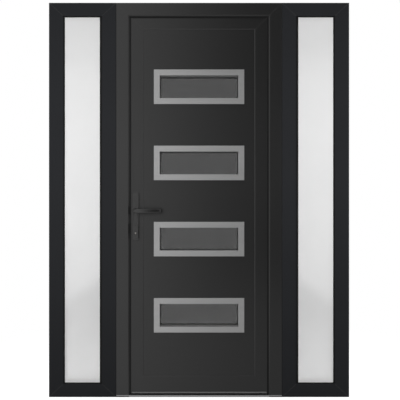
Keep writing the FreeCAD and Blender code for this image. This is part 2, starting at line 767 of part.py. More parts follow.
def make_handle_plate(label, front, guarded):
    """Long plate with a bearing for the lever's hub and a cut-out for the cylinder.

    The guarded one has a raised guard over the cylinder, with a round hole for the key.
    """
    plate = new_body(label)
    back = front + S.plate_thickness
    run_back(plate, [plate_outline(S.plate_width, S.plate_height, PLATE_MIDDLE)], front, back)
    bearing = S.hub_diameter / 2 + S.hub_clearance
    bore_back(plate, (HANDLE_X, S.spindle_height), bearing, front, back)
    cut_cylinder(plate, front, back)
    if guarded:
        guard_front = front - S.guard_thickness
        guard = plate_outline(S.guard_width, S.guard_height, CYLINDER_AXIS + S.guard_rise)
        run_back(plate, [guard], guard_front, front)
        bore_back(plate, (HANDLE_X, CYLINDER_AXIS), S.guard_bore / 2, guard_front, front)


def rounded_corner(corner, first, second, radius):
    """Four points that round a corner, from its first arm to its second.

    The corner is (x, distance from the plate), and each arm is a step along one of them.
    """
    points = []
    for near, far in ((1, 0), (0.5, 0.134), (0.134, 0.5), (0, 1)):
        x = corner[0] + radius * (first[0] * near + second[0] * far)
        out = corner[1] + radius * (first[1] * near + second[1] * far)
        points.append((x, out))
    return points


def lever_plan():
    """Outline of the bent lever seen from above: X and distance from the plate."""
    half = S.hub_diameter / 2
    tip = S.lever_length
    reach = S.lever_reach
    inner = reach - S.lever_thickness
    tip_inner = tip - S.lever_thickness
    end = inner - S.lever_return
    inner_bend = S.lever_bend - S.lever_thickness
    points = [(-half, S.lever_neck)]
    points += rounded_corner((-half, reach), (0, -1), (1, 0), S.lever_bend)
    points += rounded_corner((tip, reach), (-1, 0), (0, -1), S.lever_bend)
    points += [(tip, end), (tip_inner, end)]
    points += rounded_corner((tip_inner, inner), (0, -1), (-1, 0), inner_bend)
    points += rounded_corner((half, inner), (1, 0), (0, -1), inner_bend)
    points += [(half, S.lever_neck)]
    return points


def make_lever(label, face, outward):
    """Round hub and bent lever; outward is -1 outside and +1 inside."""
    lever = new_body(label)
    hub_end = face - S.plate_thickness * outward
    neck = face + S.lever_neck * outward
    plan = [(HANDLE_X + x, face + out * outward) for x, out in lever_plan()]
    rise = S.lever_height / 2
    run_up(lever, plan, S.spindle_height - rise, S.spindle_height + rise)
    front, back = (neck, hub_end) if outward < 0 else (hub_end, neck)
    rod_back(lever, (HANDLE_X, S.spindle_height), S.hub_diameter / 2, front, back)


def make_spindle():
    """Square spindle between the hubs of the two levers."""
    spindle = new_body("handle_spindle")
    half = S.spindle_side / 2
    loop = rectangle(
        HANDLE_X - half, HANDLE_X + half, S.spindle_height - half, S.spindle_height + half,
    )
    run_back(spindle, [loop], S.leaf_setback, LEAF_BACK)


def hinge_heights():
    """Middles of the three hinges."""
    low = S.leaf_foot + S.hinge_end
    high = head_z(S.leaf_line) - S.hinge_end
    return [low, (low + high) / 2, high]


def rod_up(body, middle, radius, foot, top):
    """Pad a round bar from one height to another."""
    sketch = new_sketch(body, "XY_Plane", foot)
    draw_circle(sketch, middle, radius)
    finish_feature(body, "Pad", sketch, top - foot)


def make_hinges():
    """Three hinges: outer knuckles on the jamb, middle knuckle on the leaf, and a pin."""
    frame_parts = new_body("frame_hinge_brackets", pieces_apart=True)
    leaf_parts = new_body("leaf_hinge_brackets", pieces_apart=True)
    pins = new_body("hinge_pins", pieces_apart=True)
    axis_x = door_x(1, S.hinge_line)
    axis = (axis_x, S.hinge_depth)
    barrel = S.hinge_barrel / 2
    bore = S.hinge_pin / 2
    half = S.knuckle_height / 2
    plate_depth = S.frame_depth + S.hinge_plate
    for middle in hinge_heights():
        foot = middle - half * 3 - S.knuckle_gap
        top = middle + half * 3 + S.knuckle_gap
        outer_x = axis_x + barrel
        base = [
            (outer_x - S.hinge_web, S.frame_depth), (outer_x + S.hinge_plate_width, S.frame_depth),
            (outer_x + S.hinge_plate_width, plate_depth), (outer_x - S.hinge_web, plate_depth),
        ]
        run_up(frame_parts, base, foot, top)
        lower = (foot, middle - half - S.knuckle_gap)
        upper = (middle + half + S.knuckle_gap, top)
        for low, high in (lower, upper):
            web = [
                (outer_x - S.hinge_web, plate_depth), (outer_x, plate_depth),
                (outer_x, S.hinge_depth), (outer_x - S.hinge_web, S.hinge_depth),
            ]
            run_up(frame_parts, web, low, high)
            rod_up(frame_parts, axis, barrel, low, high)
    doc.recompute()
    for middle in hinge_heights():
        foot = middle - half * 3 - S.knuckle_gap
        top = middle + half * 3 + S.knuckle_gap
        sketch = new_sketch(frame_parts, "XY_Plane", foot)
        draw_circle(sketch, axis, bore)
        finish_feature(frame_parts, "Pocket", sketch, top - foot, backward=True)
        low, high = middle - half, middle + half
        arm_front = LEAF_BACK
        arm_back = LEAF_BACK + S.hinge_plate
        left_x = door_x(1, S.leaf_line) - S.hinge_plate_width
        arm = [
            (left_x, arm_front), (axis_x - barrel / 2, arm_front),
            (axis_x, S.hinge_depth - barrel), (axis_x, S.hinge_depth), (left_x, arm_back),
        ]
        run_up(leaf_parts, arm, low, high)
        rod_up(leaf_parts, axis, barrel, low, high)
        rod_up(pins, axis, bore, foot, top)
        rod_up(pins, axis, barrel, top, top + S.pin_head)
        rod_up(pins, axis, barrel, foot - S.pin_head, foot)
    doc.recompute()
    for middle in hinge_heights():
        sketch = new_sketch(leaf_parts, "XY_Plane", middle - half)
        draw_circle(sketch, axis, bore + S.pin_clearance)
        finish_feature(leaf_parts, "Pocket", sketch, half * 2, backward=True)


def check_and_write():
    """Stop at any failed object or shape, then write one STEP file for each part."""
    doc.recompute()
    for item in doc.Objects:
        if "Invalid" in item.State or "Error" in item.State:
            raise RuntimeError(f"{item.Name} failed: {item.State}")
    for body in PARTS:
        if body.Shape.isNull() or not body.Shape.isValid() or not body.Shape.Solids:
            raise RuntimeError(f"{body.Label} has no valid solid")
    os.makedirs("parts", exist_ok=True)
    for body in PARTS:
        body.Shape.exportStep(f"parts/{body.Label}.step")
        box = body.Shape.BoundBox
        print(f"{body.Label}: {len(body.Shape.Solids)} solids, {body.Shape.Volume:.0f} mm3, "
              f"x {box.XMin:.1f} to {box.XMax:.1f}, y {box.YMin:.1f} to {box.YMax:.1f}, "
              f"z {box.ZMin:.1f} to {box.ZMax:.1f}")


make_door_frame()
make_threshold()
make_frame_seal()
make_strike_plates()
make_sidelight(-1, "left")
make_sidelight(1, "right")
make_leaf_frame()
make_panel()
make_windows()
make_leaf_seals()
make_lock()
make_handle_plate("outside_handle_plate", S.leaf_setback - S.plate_thickness, True)
make_handle_plate("inside_handle_plate", LEAF_BACK, False)
make_lever("outside_lever", S.leaf_setback - S.plate_thickness, -1)
make_lever("inside_lever", LEAF_BACK + S.plate_thickness, 1)
make_spindle()
make_hinges()
check_and_write()
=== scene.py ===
"""Looks of the entrance door with two sidelights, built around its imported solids.

Metres, in the same frame as the solids: X along the unit, Y from outside to inside, Z up.
"""

import json
import math

import bmesh
import bpy
from mathutils import Matrix, Vector


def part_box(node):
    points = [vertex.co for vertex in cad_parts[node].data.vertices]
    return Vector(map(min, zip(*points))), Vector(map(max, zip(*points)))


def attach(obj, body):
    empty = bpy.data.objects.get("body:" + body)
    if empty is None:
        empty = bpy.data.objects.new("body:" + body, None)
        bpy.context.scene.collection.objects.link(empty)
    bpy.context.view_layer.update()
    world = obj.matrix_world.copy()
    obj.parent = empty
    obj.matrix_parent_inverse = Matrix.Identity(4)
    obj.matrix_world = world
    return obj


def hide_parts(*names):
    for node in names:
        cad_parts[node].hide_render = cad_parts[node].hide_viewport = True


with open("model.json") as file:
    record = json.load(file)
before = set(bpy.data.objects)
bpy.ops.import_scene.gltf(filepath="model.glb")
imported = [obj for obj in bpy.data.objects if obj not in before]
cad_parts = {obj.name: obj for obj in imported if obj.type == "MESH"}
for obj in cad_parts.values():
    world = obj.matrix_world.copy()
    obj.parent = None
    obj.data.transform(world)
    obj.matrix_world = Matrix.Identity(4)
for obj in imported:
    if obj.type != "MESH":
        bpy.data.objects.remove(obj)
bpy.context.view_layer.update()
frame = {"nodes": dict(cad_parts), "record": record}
nodes = frame["nodes"]


def middle(name, axis):
    """Middle of a node's box along X, Y or Z (0, 1 or 2)."""
    low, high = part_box(name)
    return (low[axis] + high[axis]) / 2


FRONT_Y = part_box("left_jamb")[0][1]
UNIT_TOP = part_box("door_head")[1][2]

# the camera: rows of the unit's top and foot in the photograph, column of its middle, and
# the photograph's side, all in pixels
PHOTO_TOP = 2.75
PHOTO_FOOT = 397.15
PHOTO_MIDDLE = 199.05
PHOTO_SIDE = 400.0
METRES_PER_PIXEL = UNIT_TOP / (PHOTO_FOOT - PHOTO_TOP)
CAMERA_DISTANCE = 2.6
SENSOR = 36.0

# the studio: the world, the floor, and the cards that show only in the gloss
WHITE = (1.0, 1.0, 1.0)
WORLD_LEVEL = 0.2
FLOOR_SIZE = 3.0
FLOOR_TONE = 0.35
FLOOR_GLOW = 0.92
FLOOR_FADE = (1.0, 1.8)
CARD_Y = -3.2
CARD_LEFT = -6.0
CARD_RIGHT = 5.0
CARD_TOP = 6.0
CARD_LOW = 0.002
CARD_NEAR = -0.045
CARD_FADE = (-1.05, 0.6)
SIDE_CARD_X = -2.6
SIDE_CARD_DEPTHS = (-0.8, 0.4)
# name, place, aim, width, height and power of each soft box
LIGHTS = (
    ("key", (0, -1.85, 1.45), (0, 0, 1.45), 5.0, 0.6, 50),
    ("back", (0, 2.4, 1.5), (0, 0, 1.2), 4.0, 0.6, 40),
    ("left", (-3, 0.1, 1.2), (0, 0.1, 1.1), 0.6, 2.0, 25),
    ("right", (3, 0.1, 1.2), (0, 0.1, 1.1), 0.6, 2.0, 25),
)

# scales and depths of the fine textures, and the stretch of a grain along one axis
CLOUD_SCALE = 2.2
PEEL_SCALE = 900
PEEL_DEPTH = 0.00003
GRAIN_SCALE = 60
GRAIN_DEPTH = 0.00001
GLASS_SCALE = 350
GLASS_DEPTH = 0.00002
FROST_SCALE = 5
FROST_DEPTH = 0.00003
RUBBER_SCALE = 500
RUBBER_DEPTH = 0.00004
ALONG_X = (0.02, 1, 1)
ALONG_Z = (1, 1, 0.02)

# how far a normal turns outward (its share along Y) where a sloped edge starts and ends
SLOPE_START = (0.4, 0.6)
SLOPE_END = (0.86, 0.97)

# the liner of the cut-outs lies between these faces of the panel; its colour is made paler than the
# trims as painted light, to lift the shade in the reveals
PANEL_OUTSIDE_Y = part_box("door_panel")[0][1] + 0.0005
PANEL_INSIDE_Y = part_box("door_panel")[1][1] - 0.0005
LINER_PAINTED_LIGHT = (0.6, 0.6, 0.6, 1)

# how much each finish reflects; the dark glass has a low index, so that it reflects little
TINTED_INDEX = 1.2
GLASS_INDEX = 1.45
FROST_SPECULAR = 0.12
RUBBER_SPECULAR = 0.2

# the etched glass: its tone above the leaning line, painted shade below it that eases towards the foot,
# painted shade at the top and above the middle, and painted shade towards the door side with painted
# light towards the wall
BETWEEN_PANES_Y = middle("left_sidelight_panes", 1)
PAINTED_SHADE_LEAN = 0.637
PAINTED_SHADE_LINE = 0.984
PAINTED_SHADE_BLUR = 0.06
FROST_HIGH = 1.0
PAINTED_SHADE_LOW = 0.87
PAINTED_SHADE_FOOT = 0.98
PAINTED_SHADE_FOOT_HEIGHTS = (0.05, 0.6)
PAINTED_SHADE_TOP_HEIGHTS = (1.72, 1.95)
PAINTED_SHADE_TOP = 0.95
PAINTED_SHADE_ACROSS = (0.54, 0.74)
PAINTED_SHADE_ACROSS_TONES = (0.98, 1.02)
PAINTED_SHADE_MIDDLE_HEIGHTS = (0.9, 1.25)
PAINTED_SHADE_MIDDLE = 0.965
# share of the light that passes it, at the foot, higher up and along two of its rims
ETCHED_HEIGHTS = (0.05, 1.5)
ETCHED_FOOT_CLEAR = 0.5
ETCHED_CLEAR = 0.25
ETCHED_RIM_CLEAR = 0.1
FOOT_RIM = (0.084, 0.108)
WALL_RIM = (0.7, 0.735)
# roughness of the clear pane, as a share of the etched one's
INNER_ROUGH = 0.05

# bevels of the nodes
WELD_DISTANCE = 0.00001
BEVEL_ANGLE = math.radians(35)
BEVEL_SEGMENTS = 3
SMALL_BEVEL = 0.0006
BEVELS = {
    "outside_handle_plate": 0.0034, "inside_handle_plate": 0.0016,
    "window_trims_outside": 0.0008, "window_trims_inside": 0.0008,
}

# flat lighter lines along the mitres, laid on the faces, with their start and end as shares of the mitre
LINE_LIFT = 0.00008
LINE_WIDTH = 0.0013
SIDELIGHT_OUTSIDE = (0.04, 0.97)
SIDELIGHT_INSIDE = (0.04, 0.65)
LEAF_FOOT_OUTSIDE = (0.02, 0.96)
LEAF_TOP_OUTSIDE = (0.22, 0.96)
LEAF_INSIDE = (0.02, 0.74)
# the same on the door frame, as (distance from its outer edge, depth) and as distances
FRAME_OUTSIDE = ((0.002, 0), (0.065, 0), (0.071, 0.006))
FRAME_INSIDE = (0.002, 0.05)
# sealant in a groove, as (across, depth), and how far its ends stay from foot and top
SEAL_SECTION = (
    (-0.0002, 0.0009), (0.0009, 0.0006), (0.0021, 0.0009), (0.0004, 0.0028), (-0.0002, 0.0028),
)
SEAL_FOOT = 0.013
SEAL_TOP = 0.002
# face of a sidelight's stile, the gasket that shows beside it, and its lip (across, out)
STILE_FACE = 0.078
GASKET_LINE = 0.0042
LIP_SECTION = ((-0.0006, 0), (-0.0006, 0.0022), (0.0008, 0.0021), (0.0019, 0.0012), (0.0024, 0))
# how far the guard stands in front of the outside plate, and the round part of the cylinder
GUARD_DEPTH = 0.008
CYLINDER_RADIUS = 0.0085
# ring round the hub of a lever, as (radius, height)
RING_SECTION = ((0.01015, 0), (0.01015, 0.0012), (0.0107, 0.0018), (0.0126, 0.0014), (0.0134, 0))
# distance of the inside plate's screws from its ends
PLATE_SCREW = 0.014
# distance between the three locking points, and offsets from each of them
LOCK_SPACING = 0.62
FACEPLATE_SCREWS = (-0.105, 0.105)
STRIKE_SCREWS = (-0.072, 0.0, 0.072)
BOLTS = (-0.04, 0.04)
BOLT_HALF = 0.018
# a bolt's end, as (behind the edge of the faceplate, across)
BOLT_SECTION = (
    (0.0029, -0.005), (0.0013, -0.005), (0.0003, -0.004), (0.0003, -0.0008), (0.0015, 0),
    (0.0003, 0.0008), (0.0003, 0.004), (0.0013, 0.005), (0.0029, 0.005),
)
# black blocks in the gap at the heights of the latch and of the bolt, as painted shade there, with
# corners (across, depth)
GAP_SHADE_HEIGHTS = ((0.998, 1.038), (0.893, 0.946))
GAP_SHADE_SECTION = (
    (0.0664, 0.0013), (0.0668, 0.0002), (0.0722, 0.0036), (0.0752, 0.0056), (0.0758, 0.0066),
    (0.0758, 0.0071), (0.0709, 0.0071), (0.0709, 0.0060),
)
# middle line (along, out), half height, half depth and squareness, from hub to tip
LEVER = (
    (0.0, -0.007, 0.010, 0.010, 2.0), (0.0, 0.010, 0.010, 0.010, 2.0),
    (0.0, 0.031, 0.010, 0.010, 2.0), (0.0024, 0.0412, 0.0110, 0.0098, 2.1),
    (0.0150, 0.0462, 0.0121, 0.0067, 2.4), (0.040, 0.0476, 0.0122, 0.0061, 2.6),
    (0.075, 0.0457, 0.0117, 0.0058, 2.6), (0.105, 0.0408, 0.0112, 0.0055, 2.6),
    (0.125, 0.0348, 0.0108, 0.0054, 2.6), (0.1358, 0.0288, 0.0105, 0.0052, 2.5),
    (0.1378, 0.0205, 0.0102, 0.0047, 2.4), (0.1381, 0.0185, 0.0092, 0.0039, 2.3),
    (0.1382, 0.0176, 0.0070, 0.0022, 2.2),
)
# rows made from each of these, and corners of a row
LEVER_STEPS = 4
LEVER_SIDES = 32
# hinges: half a leaf knuckle, the plates, the barrel, the slope of the arm, and the screws
KNUCKLE_HALF = 0.017
HINGE_PLATE = 0.003
BARREL_RADIUS = 0.009
ARM_RUN = 0.052
ARM_FALL = 0.010
ARM_SCREW = 0.013
HINGE_SCREWS = (-0.04, 0.0, 0.04)
ARM_SCREWS = (-0.009, 0.009)
PIN_RADIUS = 0.0075
PIN_SLOT = ((0.0045, -0.0006), (0.0045, 0.0006), (-0.0045, 0.0006), (-0.0045, -0.0006))


def make_camera():
    """A level camera square to the unit, as far off as the depth of the window reveals shows."""
    data = bpy.data.cameras.new("camera")
    camera = bpy.data.objects.new("camera", data)
    bpy.context.scene.collection.objects.link(camera)
    offset = (PHOTO_SIDE / 2 - PHOTO_MIDDLE) * METRES_PER_PIXEL
    height = (PHOTO_FOOT - PHOTO_SIDE / 2) * METRES_PER_PIXEL
    camera.location = (offset, FRONT_Y - CAMERA_DISTANCE, height)
    camera.rotation_euler = (math.radians(90), 0, 0)
    data.sensor_width = SENSOR
    data.lens = SENSOR * CAMERA_DISTANCE / (PHOTO_SIDE * METRES_PER_PIXEL)
    data.clip_start = 0.05
    data.clip_end = 100
    bpy.context.scene.camera = camera


class Shader:
    """A node material with short calls for adding and joining its nodes."""

    def __init__(self, name):
        self.material = bpy.data.materials.new(name)
        self.material.use_nodes = True
        self.tree = self.material.node_tree
        self.tree.nodes.clear()
        self.out = self.add("ShaderNodeOutputMaterial")

    def add(self, kind, **values):
        """A node, with its properties and its input sockets set by name."""
        node = self.tree.nodes.new(kind)
        for name, value in values.items():
            socket = node.inputs.get(name.replace("_", " "))
            if hasattr(node, name):
                setattr(node, name, value)
            elif socket is not None:
                socket.default_value = value
            else:
                raise ValueError(f"{kind} has no {name}")
        return node

    def join(self, source, target):
        """Link an output socket to an input socket."""
        self.tree.links.new(source, target)

    def noise(self, scale, detail=2.0, stretch=(1, 1, 1)):
        """Noise in the object's own metres, stretched along an axis where asked."""
        place = self.add("ShaderNodeTexCoord").outputs["Object"]
        mapping = self.add("ShaderNodeMapping")
        mapping.inputs["Scale"].default_value = stretch
        self.join(place, mapping.inputs["Vector"])
        texture = self.add("ShaderNodeTexNoise", Scale=scale, Detail=detail)
        self.join(mapping.outputs["Vector"], texture.inputs["Vector"])
        return texture.outputs["Fac"]

    def place(self):
        """The three coordinates of a point in the object's own metres."""
        parts = self.add("ShaderNodeSeparateXYZ")
        self.join(self.add("ShaderNodeTexCoord").outputs["Object"], parts.inputs[0])
        return parts.outputs["X"], parts.outputs["Y"], parts.outputs["Z"]

    def math(self, operation, first, second=0.0):
        """The result of a sum on sockets or numbers."""
        node = self.add("ShaderNodeMath", operation=operation)
        for socket, value in zip(node.inputs, (first, second)):
            if isinstance(value, (int, float)):
                socket.default_value = value
            else:
                self.join(value, socket)
        return node.outputs[0]

    def slide(self, source, start, end, low, high):
        """A value that goes smoothly from low to high as the source goes from start to end."""
        node = self.add("ShaderNodeMapRange", interpolation_type="SMOOTHSTEP")
        node.inputs["From Min"].default_value = start
        node.inputs["From Max"].default_value = end
        node.inputs["To Min"].default_value = low
        node.inputs["To Max"].default_value = high
        self.join(source, node.inputs["Value"])
        return node.outputs["Result"]

    def spread(self, source, low, high):
        """A value that runs from low to high as the source runs over its middle range."""
        ramp = self.add("ShaderNodeMapRange")
        ramp.inputs["From Min"].default_value = 0.3
        ramp.inputs["From Max"].default_value = 0.7
        ramp.inputs["To Min"].default_value = low
        ramp.inputs["To Max"].default_value = high
        self.join(source, ramp.inputs["Value"])
        return ramp.outputs["Result"]

    def shade(self, source, dark, light):
        """A colour between two others, chosen by the source."""
        ramp = self.add("ShaderNodeValToRGB")
        ramp.color_ramp.elements[0].position = 0.3
        ramp.color_ramp.elements[1].position = 0.7
        ramp.color_ramp.elements[0].color = (*dark, 1)
        ramp.color_ramp.elements[1].color = (*light, 1)
        self.join(source, ramp.inputs["Fac"])
        return ramp.outputs["Color"]

    def bump(self, source, distance, strength=1.0):
        """A bump normal of that depth in metres."""
        node = self.add("ShaderNodeBump", Strength=strength, Distance=distance)
        self.join(source, node.inputs["Height"])
        return node.outputs["Normal"]


def grey(level):
    """A neutral colour."""
    return (level, level, level)


def scaled(color, factor):
    """The colour, darker or lighter."""
    return tuple(channel * factor for channel in color)


def paint(name, color, specular, roughness, edge_highlight_shade=1.0, edge_roughness=None):
    """Satin powder coat: a fine orange peel and a faint unevenness of tone.

    The long sloped edges, told by their normal, can have another roughness, and their tone
    scaled: above 1 it is a painted highlight, below 1 painted shade.
    """
    shader = Shader(name)
    cloud = shader.noise(CLOUD_SCALE, 3)
    tone = shader.shade(cloud, scaled(color, 0.96), scaled(color, 1.04))
    parts = shader.add("ShaderNodeSeparateXYZ")
    shader.join(shader.add("ShaderNodeTexCoord").outputs["Normal"], parts.inputs[0])
    facing_out = shader.math("ABSOLUTE", parts.outputs["Y"])
    slope = shader.slide(facing_out, *SLOPE_END, 1.0, 0.0)
    slope = shader.math("MULTIPLY", slope, shader.slide(facing_out, *SLOPE_START, 0.0, 1.0))
    edge = shader.add("ShaderNodeVectorMath", operation="SCALE")
    shader.join(tone, edge.inputs[0])
    # painted light on the sloped edges: a factor above 1 is a painted highlight, below 1 painted shade
    change = shader.math("MULTIPLY", slope, edge_highlight_shade - 1)
    shader.join(shader.math("ADD", change, 1.0), edge.inputs["Scale"])
    body = shader.add("ShaderNodeBsdfPrincipled")
    body.inputs["Specular IOR Level"].default_value = specular
    shader.join(edge.outputs["Vector"], body.inputs["Base Color"])
    peel = shader.noise(PEEL_SCALE, 2)
    rough = shader.spread(peel, roughness - 0.04, roughness + 0.04)
    added = shader.math("MULTIPLY", slope, (edge_roughness or roughness) - roughness)
    shader.join(shader.math("ADD", rough, added), body.inputs["Roughness"])
    shader.join(shader.bump(peel, PEEL_DEPTH), body.inputs["Normal"])
    shader.join(body.outputs["BSDF"], shader.out.inputs["Surface"])
    return shader.material


def metal(name, color, roughness, stretch, metallic=1.0):
    """Brushed metal with a fine grain along one axis."""
    shader = Shader(name)
    grain = shader.noise(GRAIN_SCALE, 4, stretch)
    tone = shader.shade(grain, scaled(color, 0.94), scaled(color, 1.04))
    body = shader.add("ShaderNodeBsdfPrincipled", Metallic=metallic)
    shader.join(tone, body.inputs["Base Color"])
    shader.join(shader.spread(grain, roughness - 0.05, roughness + 0.05), body.inputs["Roughness"])
    shader.join(shader.bump(grain, GRAIN_DEPTH), body.inputs["Normal"])
    shader.join(body.outputs["BSDF"], shader.out.inputs["Surface"])
    return shader.material


def trim_metal(name, color, roughness, metallic):
    """Satin metal on the face of the leaf, with the liner of the cut-out behind it, made paler as
    painted light that lifts the shade in the reveals.
    """
    shader = Shader(name)
    grain = shader.noise(GRAIN_SCALE, 4, ALONG_X)
    tone = shader.shade(grain, scaled(color, 0.97), scaled(color, 1.03))
    depth = shader.place()[1]
    behind = shader.math("GREATER_THAN", depth, PANEL_OUTSIDE_Y)
    liner = shader.math("MULTIPLY", behind, shader.math("LESS_THAN", depth, PANEL_INSIDE_Y))
    mix = shader.add("ShaderNodeMix", data_type="RGBA")
    shader.join(liner, mix.inputs[0])
    shader.join(tone, mix.inputs[6])
    # painted light: the liner is paler than the trims to lift the shade in the reveals
    mix.inputs[7].default_value = LINER_PAINTED_LIGHT
    body = shader.add("ShaderNodeBsdfPrincipled", Metallic=metallic)
    shader.join(mix.outputs[2], body.inputs["Base Color"])
    shader.join(shader.spread(grain, roughness - 0.03, roughness + 0.03), body.inputs["Roughness"])
    shader.join(shader.bump(grain, GRAIN_DEPTH), body.inputs["Normal"])
    shader.join(body.outputs["BSDF"], shader.out.inputs["Surface"])
    return shader.material


def tinted_glass(name, color):
    """Dark glass, a touch uneven and finely textured."""
    shader = Shader(name)
    grain = shader.noise(GLASS_SCALE, 3)
    body = shader.add("ShaderNodeBsdfPrincipled", Transmission_Weight=1.0)
    body.inputs["IOR"].default_value = TINTED_INDEX
    tone = shader.shade(grain, scaled(color, 0.99), scaled(color, 1.01))
    shader.join(tone, body.inputs["Base Color"])
    shader.join(shader.spread(grain, 0.06, 0.12), body.inputs["Roughness"])
    shader.join(shader.bump(grain, GLASS_DEPTH), body.inputs["Normal"])
    shader.join(body.outputs["BSDF"], shader.out.inputs["Surface"])
    return shader.material


def frosted_glass(name):
    """An etched pane outside and a clear one inside, told apart by their depth.

    The etching scatters most of the light, and lets more of it through towards the foot.
    Its tone carries painted shade: it falls below a line that leans down towards the wall, less so
    near the foot, and drops a little higher up, at the top and towards the door side.
    """
    shader = Shader(name)
    grain = shader.noise(GLASS_SCALE, 3)
    cloud = shader.spread(shader.noise(FROST_SCALE, 3), 0.985, 1.01)
    across, depth, height = shader.place()
    across = shader.math("ABSOLUTE", across)
    leaning = shader.math("ADD", height, shader.math("MULTIPLY", across, PAINTED_SHADE_LEAN))
    # painted shade: darker below a line that leans down towards the wall, less dark near the foot
    lit = shader.slide(leaning, PAINTED_SHADE_LINE - PAINTED_SHADE_BLUR, PAINTED_SHADE_LINE + PAINTED_SHADE_BLUR, 0.0, 1.0)
    low = shader.slide(height, *PAINTED_SHADE_FOOT_HEIGHTS, PAINTED_SHADE_FOOT, PAINTED_SHADE_LOW)
    mix = shader.add("ShaderNodeMix", data_type="FLOAT")
    shader.join(lit, mix.inputs[0])
    shader.join(low, mix.inputs[2])
    mix.inputs[3].default_value = FROST_HIGH
    tone = mix.outputs[0]
    # painted shade at the top and above the middle, painted shade towards the door side and painted
    # light towards the wall; the cloud is a random unevenness
    for factor in (
        shader.slide(height, *PAINTED_SHADE_TOP_HEIGHTS, 1.0, PAINTED_SHADE_TOP),
        shader.slide(across, *PAINTED_SHADE_ACROSS, *PAINTED_SHADE_ACROSS_TONES),
        shader.slide(height, *PAINTED_SHADE_MIDDLE_HEIGHTS, 1.0, PAINTED_SHADE_MIDDLE),
        cloud,
    ):
        tone = shader.math("MULTIPLY", tone, factor)
    inner = shader.math("GREATER_THAN", depth, BETWEEN_PANES_Y)
    tone = shader.math("MAXIMUM", tone, inner)
    body = shader.add("ShaderNodeBsdfPrincipled")
    body.inputs["Specular IOR Level"].default_value = FROST_SPECULAR
    body.inputs["IOR"].default_value = GLASS_INDEX
    shader.join(tone, body.inputs["Base Color"])
    clear = shader.slide(height, *ETCHED_HEIGHTS, ETCHED_FOOT_CLEAR, ETCHED_CLEAR)
    clear = shader.math("MINIMUM", clear, shader.slide(height, *FOOT_RIM, ETCHED_RIM_CLEAR, 1.0))
    clear = shader.math("MINIMUM", clear, shader.slide(across, *WALL_RIM, 1.0, ETCHED_RIM_CLEAR))
    clear = shader.math("MAXIMUM", inner, clear)
    shader.join(clear, body.inputs["Transmission Weight"])
    share = shader.math("SUBTRACT", 1 + INNER_ROUGH, inner)
    rough = shader.math("MULTIPLY", shader.spread(grain, 0.28, 0.34), share)
    shader.join(rough, body.inputs["Roughness"])
    shader.join(shader.bump(grain, FROST_DEPTH), body.inputs["Normal"])
    shader.join(body.outputs["BSDF"], shader.out.inputs["Surface"])
    return shader.material


def rubber(name, color):
    """Matt black rubber."""
    shader = Shader(name)
    grain = shader.noise(RUBBER_SCALE, 3)
    tone = shader.shade(grain, scaled(color, 0.8), scaled(color, 1.2))
    body = shader.add("ShaderNodeBsdfPrincipled")
    body.inputs["Specular IOR Level"].default_value = RUBBER_SPECULAR
    shader.join(tone, body.inputs["Base Color"])
    shader.join(shader.spread(grain, 0.65, 0.8), body.inputs["Roughness"])
    shader.join(shader.bump(grain, RUBBER_DEPTH), body.inputs["Normal"])
    shader.join(body.outputs["BSDF"], shader.out.inputs["Surface"])
    return shader.material


materials = {
    "sidelight_paint": paint("sidelight_paint", (0.0222, 0.0231, 0.0254), 0.03, 0.6),
    # the frame's sloped edges get painted shade, the leaf's a painted highlight
    "frame_paint": paint("frame_paint", grey(0.0115), 0.55, 0.33, edge_highlight_shade=0.9, edge_roughness=0.45),
    "leaf_paint": paint("leaf_paint", grey(0.01), 0.55, 0.33, edge_highlight_shade=2.2),
    "trim_metal": trim_metal("trim_metal", grey(0.43), 0.45, 0.8),
    "handle_metal": paint("handle_metal", grey(0.0092), 0.64, 0.27),
    "nickel": metal("nickel", (0.45, 0.435, 0.41), 0.3, ALONG_X),
    "steel": metal("steel", grey(0.5), 0.35, ALONG_Z),
    "hinge_metal": paint("hinge_metal", grey(0.014), 0.5, 0.45),
    "sill_metal": metal("sill_metal", (0.27, 0.27, 0.275), 0.4, ALONG_X, 0.5),
    "drip_metal": metal("drip_metal", grey(0.22), 0.4, ALONG_X, 0.5),
    "packer": rubber("packer", grey(0.05)),
    "window_glass": tinted_glass("window_glass", grey(0.281)),
    "frosted_glass": frosted_glass("frosted_glass"),
    "spacer": metal("spacer", grey(0.3), 0.4, ALONG_X),
    "rubber": rubber("rubber", grey(0.009)),
}


def dress_nodes():
    """Every node gets the material of its slot; all but the glass and rubber ones get a small bevel on
    their sharp edges.
    """
    for part in frame["record"]["subparts"]:
        node = nodes[part["node"]]
        node.data.materials.clear()
        node.data.materials.append(materials[part["material_slot"]])
        weld = node.modifiers.new("weld", "WELD")
        weld.merge_threshold = WELD_DISTANCE
        if part["material_slot"] not in ("window_glass", "frosted_glass", "rubber"):
            bevel = node.modifiers.new("bevel", "BEVEL")
            bevel.width = BEVELS.get(part["node"], SMALL_BEVEL)
            bevel.segments = BEVEL_SEGMENTS
            bevel.limit_method = "ANGLE"
            bevel.angle_limit = BEVEL_ANGLE
            bevel.harden_normals = True


def new_piece(name, mesh_maker, slot, body):
    """An object from a bmesh, in the finish of a slot, that moves with a body."""
    bmesh.ops.recalc_face_normals(mesh_maker, faces=mesh_maker.faces)
    mesh = bpy.data.meshes.new(name)
    mesh_maker.to_mesh(mesh)
    mesh_maker.free()
    mesh.materials.append(materials[slot])
    piece = bpy.data.objects.new(name, mesh)
    bpy.context.scene.collection.objects.link(piece)
    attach(piece, body)
    return piece


def facing(place, outward):
    """Matrix that puts a form drawn round Z at a place, facing outward."""
    turn = Vector(outward).to_track_quat("Z", "Y").to_matrix().to_4x4()
    return Matrix.Translation(place) @ turn


def add_loop(mesh_maker, where, outline, height):
    """A closed row of points at a height above the place."""
    return [mesh_maker.verts.new(where @ Vector((a, b, height))) for a, b in outline]


